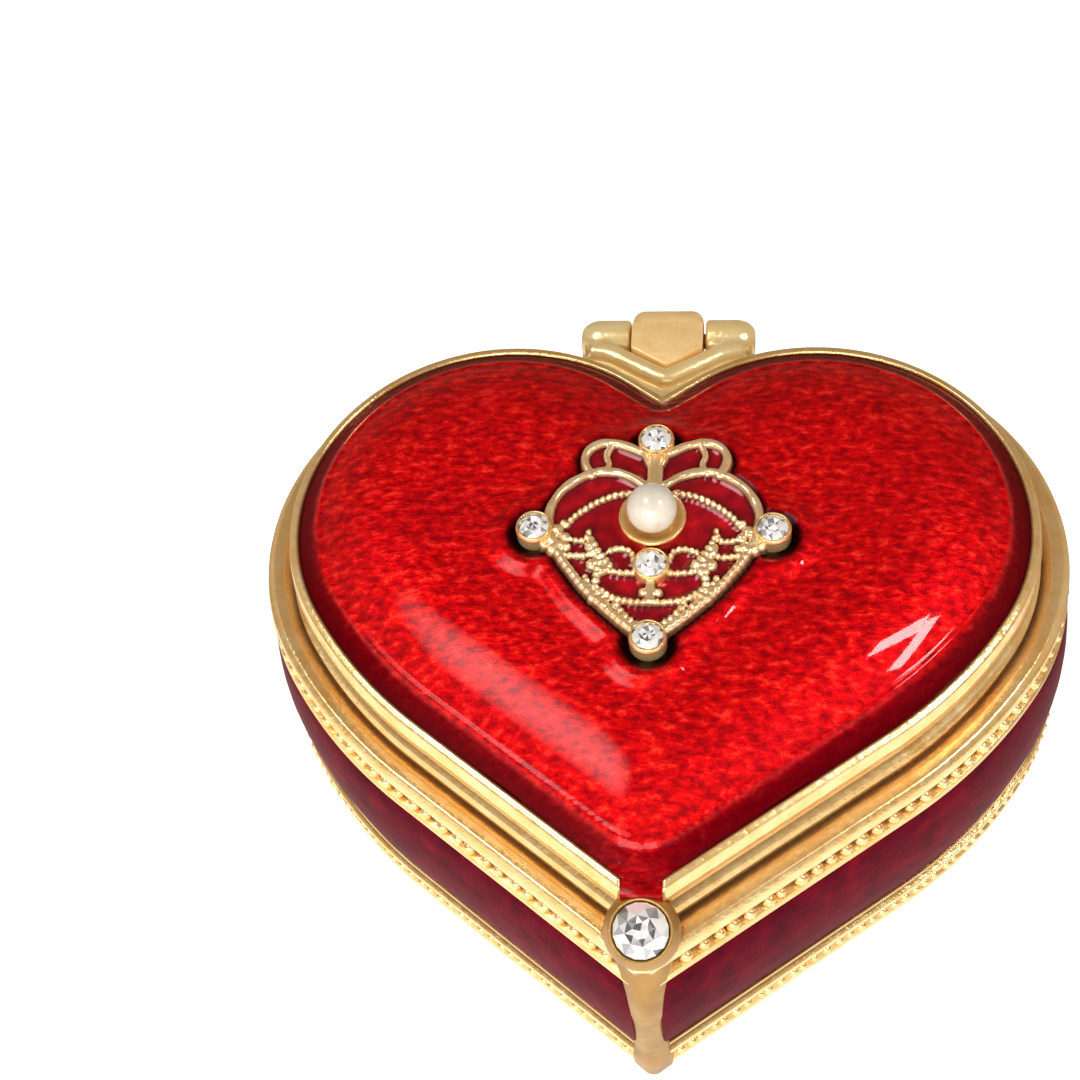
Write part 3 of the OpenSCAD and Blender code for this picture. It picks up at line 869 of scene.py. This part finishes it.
def ornament_outline():
    """Closed outline along the outer wires."""
    edge = [(0, -4.6)]
    for name in ("border", "arc", "curl"):
        path = smooth_flat(STROKES[name][0], 0.4)
        edge += [tuple(p) for p in path[::-1] if name != "arc" or p[0] > 4.4]
    edge.append((0, 10.2))
    return np.array(edge + [(-x, y) for x, y in edge[-2:0:-1]])


def outline_gap(xy, outline):
    """Distance outside a closed outline; 0 inside."""
    best = np.full(len(xy), 1e9)
    for a, b in zip(outline, np.roll(outline, -1, 0)):
        ab = b - a
        t = np.clip(((xy - a) @ ab) / (ab @ ab), 0, 1)
        best = np.minimum(best, np.linalg.norm(xy - a - t[:, None] * ab, axis=1))
    return np.where(inside(xy, outline), 0, best)


ORN = ornament_outline()
ORN_STONES = [middle("crystal_" + k)[:2] for k in ("top", "left", "right", "bottom")]


def ornament_distance(xy):
    """Distance outside the ornament and its outer settings."""
    gap = outline_gap(xy, ORN)
    for at in ORN_STONES:
        gap = np.minimum(gap, np.maximum(np.linalg.norm(xy - at, axis=1) - 1.3, 0))
    return gap


# ---------------------------------------------------------------- lid
ENAMEL_IN = 4.2
LINING_IN = 4.9
SEAT_Z = RAIL_TOP - 1.1
TONGUE = 1.35
RIM = len(HALF) * 2 - 2  # points round the heart


def lid_frame():
    """Cast rail that holds the enamel and shuts on the land of the base."""
    profile = fillet([
        (3.75, 17.4, 0.1), (4.5, 17.4, 0.15), (4.6, 18.15, 0.1), (5.2, 18.3, 0.3), (5.3, 21.4, 0),
        (4.3, 21.55, 0), (4.2, 22.3, 0), (4.15, EDGE_Z + 0.02, 0.05), (4.0, RAIL_TOP - 0.02, 0.12),
        (3.5, RAIL_TOP - 0.18, 0.3), (3.28, RAIL_TOP - 1.2, 0.8), (3.42, 20.1, 0.6), (3.85, 19.7, 0.1),
        (3.9, 19.35, 0.15), (3.3, 19.0, 0.15), (3.02, 18.75, 0.12), (3.02, 18.3, 0.1), (3.15, 18.1, 0.05),
        (3.75, 18.1, 0)
    ])
    return heart_sweep(profile)


frame_obj = piece("lid_frame", lid_frame(), "lid", GOLD, ["lid_casting"])
gap_block = prism([(-TONGUE, -27), (TONGUE, -27), (TONGUE, -19.4), (-TONGUE, -19.4)], 19.2, 24)
cut(frame_obj, mesh_object("gap", *gap_block))
# Painted shade: brown darkening in the coves of the lid rail.
recess_shade(frame_obj, [(3.95, 19.5, 0.35), (3.2, 18.2, 0.25), (4.15, 22.45, 0.12)])
cut(frame_obj, mesh_object("socket", *ball(BALL, BALL_R + 0.02, 24, 48)))


def blend_min(a, b, k):
    """The lesser of a and b, rounded over where they are within k."""
    h = np.clip(0.5 + 0.5 * (b - a) / k, 0, 1)
    return b * (1 - h) + a * h - k * h * (1 - h)


def edge_distance(xy, d):
    """Distance to the heart set in by d, with the two halves blended where they meet in front."""
    right = denser(HALF - d * OUT, 4)
    k = 3 * np.clip((4 - xy[:, 1]) / 8, 0.01, 1)
    return np.maximum(blend_min(nearest(xy, right), nearest(xy, right * [-1, 1]), k), 0)


def rim_walls(n):
    """Faces between the first RIM points and the RIM points from n on."""
    return [(i, (i + 1) % RIM, n + (i + 1) % RIM, n + i) for i in range(RIM)]


def heart_patch(d, rings, pitch):
    """Points inside the heart set in by d: close rings at its edge, then a grid; and triangles."""
    pts, edges = [], []
    for k, step in enumerate(rings):
        r = ring(d + step)
        if k == 0:
            edges = [(i, (i + 1) % len(r)) for i in range(len(r))]
        pts.append(r)
    inner = ring(d + rings[-1] + pitch * 0.6)
    lo, hi = inner.min(0), inner.max(0)
    gx, gy = np.meshgrid(np.arange(lo[0], hi[0], pitch), np.arange(lo[1], hi[1], pitch * 0.87))
    gx[1::2] += pitch / 2
    grid = np.c_[gx.ravel(), gy.ravel()]
    pts = np.vstack(pts + [grid[inside(grid, inner)]])
    out, _, faces, _, _, _ = delaunay_2d_cdt([Vector(p) for p in pts], edges, [], 1, 1e-5)
    return np.array([tuple(v) for v in out]), [tuple(f) for f in faces]


def dome_lift(gap):
    """Rise of the dome at a distance from its edge: a flat border, a soft step, then the crown."""
    t = np.clip(gap / 9, 0, 1)
    swell = 1 - (1 - t) ** 2.4
    ridge = 0.14 * np.exp(-((gap - 1.6) / 0.2) ** 2)
    return (CROWN_Z - EDGE_Z) * swell + ridge


def dome():
    """Domed enamel with its own underside; also each point's distance from its edge and the ornament."""
    rings = [0, 0.25, 0.5, 0.8, 1.1, 1.25, 1.38, 1.5, 1.6, 1.7, 1.82, 1.95, 2.1, 2.4, 2.8, 3.3]
    xy, faces = heart_patch(ENAMEL_IN, rings, 0.36)
    gap = edge_distance(xy, ENAMEL_IN)
    near = ornament_distance(xy)
    z = EDGE_Z + dome_lift(gap) + 0.4 * np.exp(-((near - 1.05) / 0.75) ** 2)
    n = len(xy)
    verts = np.vstack([np.c_[xy, z], np.c_[xy[:RIM], np.full(RIM, SEAT_Z)]])
    return verts, faces + rim_walls(n) + [tuple(range(n, n + RIM))], gap, near


verts, faces, gap, near = dome()
lid_dome = piece("lid_dome", (verts, faces), "lid", RUBY, ["lid_enamel"], smooth=50)
tongue = [(-TONGUE, -20.9), (TONGUE, -20.9), (TONGUE, -19.6), (-TONGUE, -19.6)]
tongue = prism(tongue, 19.3, EDGE_Z - 0.1, 0.1)
tongue_obj = piece("enamel_tongue", tongue, "lid", RUBY)
# Edge value of the dome: a dark band along the rail and a painted shadow round the ornament and its
# settings, all weaker towards the point; the tongue takes a fixed 0.35.
rail_band = 1 / (1 + np.exp((gap - 1.3) / 0.08))
shade = np.maximum(0.6 * rail_band + 0.2 * np.exp(-gap / 1.8), np.exp(-(np.maximum(near - 0.5, 0) / 0.35) ** 2))
at_tip = np.exp(-np.maximum(verts[:len(gap), 1] + 20.5, 0) / 1.2)
float_attribute(lid_dome, np.r_[shade * (1 - 0.6 * at_tip), np.ones(len(verts) - len(gap))])
float_attribute(tongue_obj, np.full(len(tongue_obj.data.vertices), 0.35))


def recess_lining():
    """Concave pearl enamel under the lid."""
    xy, faces = heart_patch(LINING_IN, [0, 0.15, 0.35, 0.6, 1.0, 1.5, 2.1, 2.8, 3.6], 1.2)
    gap = edge_distance(xy, LINING_IN)
    t = np.clip(gap / 7, 0, 1)
    z = LAND + 0.35 + 3.0 * (1 - (1 - t) ** 2.6)
    n = len(xy)
    verts = np.vstack([np.c_[xy, z], np.c_[xy, np.minimum(z + 0.5, SEAT_Z)]])
    return verts, faces + [tuple(i + n for i in f) for f in faces] + rim_walls(n)


piece("recess_lining", recess_lining(), "lid", GREYISH, ["lid_lining"], smooth=60)
cup = fillet([(BORE_R, LAND + 2.2, 0), (BORE_R, LAND + 0.25, 0.1), (POST_R, LAND + 0.2, 0.25),
              (POST_R + 0.25, LAND + 2.2, 0)])
piece("magnet_ring", at_magnet(cup, 0), "lid", GOLD, ["lid_magnet_cup"])
thin = fillet([(0, 0, 0), (MAGNET_R, 0, 0.25), (MAGNET_R, 1.5, 0), (0, 1.5, 0)])
piece("lid_magnet_disc", at_magnet(thin, low("lid_magnet")[2]), "lid", STEEL, ["lid_magnet"])
# Near-black discs behind the magnets: painted shadow in the gaps round them.
gap_shadow = [(0, 1.6), (BORE_R + 0.02, 1.6), (BORE_R + 0.02, 2.0), (0, 2.0)]
piece("magnet_gap_shadow_lid", at_magnet(gap_shadow, low("lid_magnet")[2] - 0.3, 48), "lid", GAP_SHADOW)
gap_shadow = [(0, 0), (BORE_R - 0.02, 0), (BORE_R - 0.02, 0.25), (0, 0.25)]
piece("magnet_gap_shadow_base", at_magnet(gap_shadow, low("base_magnet")[2] + 0.02, 48), "base", GAP_SHADOW)

# ---------------------------------------------------------------- thumb ball and stones
BALL_TURN = Matrix.Rotation(BALL_TILT, 4, "X")
FACE = 1.35  # height of the ball's stone over its centre
SOCKET_R = 1.8


def thumb_ball():
    """Ball, open in front where its stone is set."""
    prof = [(0, -BALL_R)]
    for a in np.radians(np.linspace(-84, 30, 30)):
        prof.append((BALL_R * math.cos(a), BALL_R * math.sin(a)))
    prof += [(2.08, FACE + 0.08), (2.0, FACE + 0.13), (1.9, FACE + 0.1), (SOCKET_R + 0.02, FACE - 0.15),
             (SOCKET_R, 0.2), (0, 0.2)]
    return lathe(prof, 64, BALL, BALL_TURN)


piece("thumb_knob", thumb_ball(), "lid", MATTE_GOLD, ["thumb_ball"])


def stone(name, r, at, turn, nodes, crown, spin):
    """Cut stone: a belt, a ring of crown facets, and a sunken table that stands for the cut of its back;
    each face gets a painted glint or dark reflection as its tone.
    """
    n = 8
    verts, faces, tone = [], [], []

    def add(rad, ang, z):
        verts.append((rad * math.cos(ang), rad * math.sin(ang), z))
        return len(verts) - 1

    def face(ids, value):
        faces.append(tuple(ids))
        tone.append(value)

    step = 2 * math.pi / n
    bottom = [add(r * 0.98, k * step / 2 + spin, -0.4 * r) for k in range(2 * n)]
    belt = [add(r, k * step / 2 + spin, 0) for k in range(2 * n)]
    mid = [add(r * 0.78, (k + 0.5) * step + spin, crown * r * 0.62) for k in range(n)]
    table = [add(r * 0.56, k * step + spin, crown * r) for k in range(n)]
    inner = [add(r * 0.3, (k + 0.5) * step + spin, crown * r * 0.35) for k in range(n)]
    heart = add(0, 0, crown * r * 0.75)
    face(bottom[::-1], 0.5)
    for k in range(2 * n):
        k1 = (k + 1) % (2 * n)
        face((bottom[k], bottom[k1], belt[k1], belt[k]), 0.3)
    for k in range(n):
        # Each face's tone is a painted glint or a painted dark reflection, picked at random.
        k1 = (k + 1) % n
        b0, b1, b2 = belt[2 * k], belt[2 * k + 1], belt[(2 * k + 2) % (2 * n)]
        face((b0, b1, mid[k]), rng.choice([0.15, 0.8, 1.0]))
        face((b1, b2, mid[k]), rng.choice([0.05, 0.6, 1.0]))
        face((b0, mid[k], table[k]), rng.choice([0.3, 0.9, 1.0]))
        face((b2, table[k1], mid[k]), rng.choice([0.2, 0.9, 1.0]))
        face((table[k], mid[k], table[k1]), rng.choice([0.5, 1.0]))
        face((table[k], table[k1], inner[k]), rng.choice([0.0, 0.6, 1.0]))
        face((table[k1], inner[k1], inner[k]), rng.choice([0.1, 0.9, 1.0]))
        face((inner[k], inner[k1], heart), rng.choice([0.0, 0.75, 1.0]))
    v = np.array(verts)
    if turn is not None:
        v = v @ np.array(turn.to_3x3()).T
    v = v + np.array(at)
    mesh = bpy.data.meshes.new(name)
    mesh.from_pydata([tuple(p) for p in v * MM], [], faces)
    att = mesh.attributes.new("facet", "FLOAT", "FACE")
    att.data.foreach_set("value", np.array(tone, float))
    mesh.materials.append(CRYSTAL)
    obj = placed(name, mesh)
    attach(obj, "lid")
    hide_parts(*nodes)


axis = np.array(BALL_TURN.to_3x3() @ Vector((0, 0, 1)))
stone("thumb_stone", SOCKET_R - 0.01, BALL + axis * FACE, BALL_TURN, ["thumb_crystal"], 0.32, 0.2)


# ---------------------------------------------------------------- ornament
def relief(xy):
    """Height of the cast relief over the enamel level; it falls away steeply outside the wires."""
    h = np.full(len(xy), -9.0)
    for side in (1, -1):
        for k, (name, (pts, half, tall, pitch)) in enumerate(STROKES.items()):
            path = smooth_flat(pts) * [side, 1]
            run = np.r_[0, np.cumsum(np.linalg.norm(np.diff(path, axis=0), axis=1))]
            near = np.all((xy > path.min(0) - 2) & (xy < path.max(0) + 2), axis=1)
            gap = np.linalg.norm(xy[near][:, None] - path[None], axis=2)
            at = gap.argmin(1)
            d, s = gap.min(1), run[at]
            if name == "border":
                swell = np.abs(np.sin(math.pi * s / pitch + side))
                w, top = half * (0.92 + 0.1 * swell), tall * (0.82 + 0.2 * swell)
                dome_top = np.clip(1 - (d / w) ** 3, 0, 1)
            elif pitch:
                swell = np.abs(np.sin(math.pi * s / pitch + 1.7 * k + side))
                w, top = half * (0.75 + 0.35 * swell), tall * (0.5 + 0.58 * swell)
                dome_top = np.sqrt(np.clip(1 - (d / w) ** 2, 0, 1))
            else:
                w = half * (1 + 0.08 * np.sin(2.3 * s + side + k))
                top = tall * (0.95 + 0.05 * np.sin(5.1 * s + 2 * side))
                dome_top = np.clip(1 - (d / w) ** 4, 0, 1)
            h[near] = np.maximum(h[near], np.where(d < w, top * dome_top, -FLANK * (d - w)))
        for x, y, r in NUGGETS:
            at = [side * (x + rng.uniform(-0.06, 0.06)), y + rng.uniform(-0.06, 0.06)]
            d = np.linalg.norm(xy - at, axis=1)
            lump = 0.45 * np.sqrt(np.clip(1 - (d / r) ** 2, 0, 1))
            h = np.maximum(h, np.where(d < r, lump, -FLANK * (d - r)))
    stem = np.array(STEM)[::-1]
    w = np.interp(xy[:, 1], stem[:, 1], stem[:, 0])
    flute = 0.34 + 0.1 * np.cos(xy[:, 0] / np.maximum(w, 0.1) * 2.6 * math.pi)
    off = np.maximum(np.abs(xy[:, 0]) - w, np.maximum(xy[:, 1] - STEM[0][1], STEM[-1][1] - xy[:, 1]))
    h = np.maximum(h, np.where(off < 0, flute, -FLANK * off))
    foot = np.maximum(np.abs(xy[:, 0]) - 0.3, np.maximum(xy[:, 1], -2.0 - xy[:, 1]))
    return np.maximum(h, np.where(foot < 0, 0.4, -FLANK * foot))


RELIEF_PITCH = 0.11


def relief_grid():
    """Even grid over the ornament, and its numbers of rows and columns."""
    gx, gy = np.arange(-8.2, 8.21, RELIEF_PITCH), np.arange(-5.3, 11.8, RELIEF_PITCH)
    xx, yy = np.meshgrid(gx, gy)
    xy = np.c_[xx.ravel(), yy.ravel()]
    return xy, len(gy), len(gx)


def keep_faces(z_ok, rows, cols):
    """Quads of the grid whose corners pass, renumbered, and the corners kept."""
    ok = z_ok.reshape(rows, cols)
    quad = ok[:-1, :-1] & ok[1:, :-1] & ok[:-1, 1:] & ok[1:, 1:]
    i, j = np.nonzero(quad)
    a = i * cols + j
    faces = np.c_[a, a + 1, a + cols + 1, a + cols]
    used, inverse = np.unique(faces, return_inverse=True)
    return used, inverse.reshape(faces.shape)


def ornament():
    """Cast filigree, and the enamel between its wires."""
    xy, rows, cols = relief_grid()
    h = relief(xy)
    used, faces = keep_faces(h > -1.3, rows, cols)
    wires = piece("filigree", (np.c_[xy[used], CELL_Z + h[used]], faces.tolist()), "lid", CAST_GOLD,
                  ["ornament_filigree"], smooth=75)
    # Painted shade: the low flanks and notches of the relief darken to brown.
    float_attribute(wires, 0.9 * np.clip((0.27 - h[used]) / 0.22, 0, 1))
    gap = outline_gap(xy, ORN)
    to_wire = np.clip(-h / FLANK, 0, 2)
    used, faces = keep_faces(gap < 0.05, rows, cols)
    z = CELL_Z - 0.12 + 0.16 * np.exp(-to_wire / 0.22)
    cells = piece("filigree_enamel", (np.c_[xy[used], z[used]], faces.tolist()), "lid", CELL,
                  ["ornament_enamel"], smooth=180)
    # Painted shade in the cells, strongest next to the wires.
    float_attribute(cells, np.exp(-to_wire[used] / 0.3))


ornament()
STONE_R = 1.05


def bezel(name, x, y, spin):
    """Round setting with its stone."""
    base = CROWN_Z - 0.9
    top = CROWN_Z + 1.35
    r = STONE_R + 0.2
    prof = fillet([(0, base, 0), (r, base, 0), (r * 1.02, top - 0.25, 0.15), (r * 0.93, top, 0.08),
                   (STONE_R + 0.02, top - 0.02, 0.03), (STONE_R, top - 0.5, 0), (0, top - 0.5, 0)])
    piece("setting_" + name, lathe(prof, 40, (x, y, 0)), "lid", GOLD, ["bezel_" + name])
    stone("stone_" + name, STONE_R, (x, y, top - 0.12), None, ["crystal_" + name], 0.3, spin)


for k, name in enumerate(("top", "left", "right", "centre", "bottom")):
    x, y, _ = middle("crystal_" + name)
    bezel(name, x, y, 0.37 * k)

PEARL_AT = middle("pearl")
PEARL_R = high("pearl")[0]
seat = fillet([(r, CROWN_Z + z, soft) for r, z, soft in (
    (0, -0.3, 0), (1.5, -0.3, 0), (1.75, 0.7, 0.3), (2.3, 1.5, 0.15), (2.25, 1.75, 0.1), (2.0, 1.6, 0.1),
    (1.3, 1.0, 0.2), (0, 0.85, 0))])
piece("pearl_seat", lathe(seat, 56, (PEARL_AT[0], PEARL_AT[1], 0)), "lid", GOLD, ["pearl_cup"])
piece("pearl_bead", ball(PEARL_AT, PEARL_R, 40, 64), "lid", PEARL, ["pearl"])
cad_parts["pearl_peg"].data.materials.clear()
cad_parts["pearl_peg"].data.materials.append(MATTE_GOLD)

# ---------------------------------------------------------------- camera, lights, floor
CAM_AT = Vector((7.05, -61.9, 129.7)) * MM
CAM_AIM = Vector((-11.4, 19.3, 0)) * MM
CAM_ROLL = math.radians(-10.36)
FOCAL = 60.0
LIGHT_AIM = Vector((0, 0, 0.015))


def look(obj, at, target, roll=0.0):
    """Puts the object at a point and turns its -Z to the target."""
    obj.location = at
    turn = (target - at).to_track_quat("-Z", "Y").to_matrix().to_4x4()
    obj.rotation_euler = (turn @ Matrix.Rotation(roll, 4, "Z")).to_euler()


cam = placed("camera", bpy.data.cameras.new("camera"))
cam.data.lens = FOCAL
cam.data.sensor_width = 36.0
cam.data.clip_start = 0.01
cam.data.clip_end = 10
look(cam, CAM_AT, CAM_AIM, CAM_ROLL)
bpy.context.scene.camera = cam
scene.view_settings.view_transform = "Standard"


def soft_light(name, at, size, power):
    """Rectangular light aimed at the object."""
    data = bpy.data.lights.new(name, "AREA")
    data.shape = "RECTANGLE"
    data.size, data.size_y = size
    data.energy = power
    look(placed(name, data), Vector(at), LIGHT_AIM)


soft_light("right_card", (0.25, 0.01, 0.39), (0.03, 0.09), 0.33)
soft_light("right_card_low", (0.3, -0.03, 0.36), (0.09, 0.03), 0.33)
soft_light("front_fill", (-0.1, -0.6, 0.4), (0.6, 0.3), 3.0)

world = bpy.data.worlds.new("studio")
scene.world = world
world.use_nodes = True
wt = world.node_tree
sky = wt.nodes["Background"]
tc = new_node(wt, "TexCoord")


def toward(direction):
    """How far each point of the sky lies in a direction."""
    dot = new_node(wt, "VectorMath")
    dot.operation = "DOT_PRODUCT"
    dot.inputs[1].default_value = direction
    wt.links.new(tc.outputs["Generated"], dot.inputs[0])
    return dot.outputs["Value"]


front = span(wt, toward((-0.1, -0.8, -0.6)), -1, 1, 0, 1)
ground = ramp(wt, front, [(0.08, (0.2, 0.14, 0.09)), (0.36, (0.42, 0.36, 0.3)), (0.5, (0.1, 0.06, 0.03)),
                          (0.6, (1.05, 0.98, 0.88)), (0.85, (1.25, 1.22, 1.15))])
soft = span(wt, toward(Vector((-0.4, 0.02, 0.9)).normalized()), 0.965, 0.998, 0, 1)
wt.links.new(mix(wt, soft, ground, (7, 7, 7)), sky.inputs["Color"])
sky.inputs["Strength"].default_value = 1.08

bpy.ops.mesh.primitive_plane_add(size=3)
floor = bpy.context.object
floor.name = "floor"
floor.data.materials.append(new_material("pale_floor", Base_Color=(0.8, 0.8, 0.8, 1), Roughness=0.9,
                                         Emission_Color=(1, 1, 1, 1), Emission_Strength=0.55)[0])
floor.visible_glossy = False
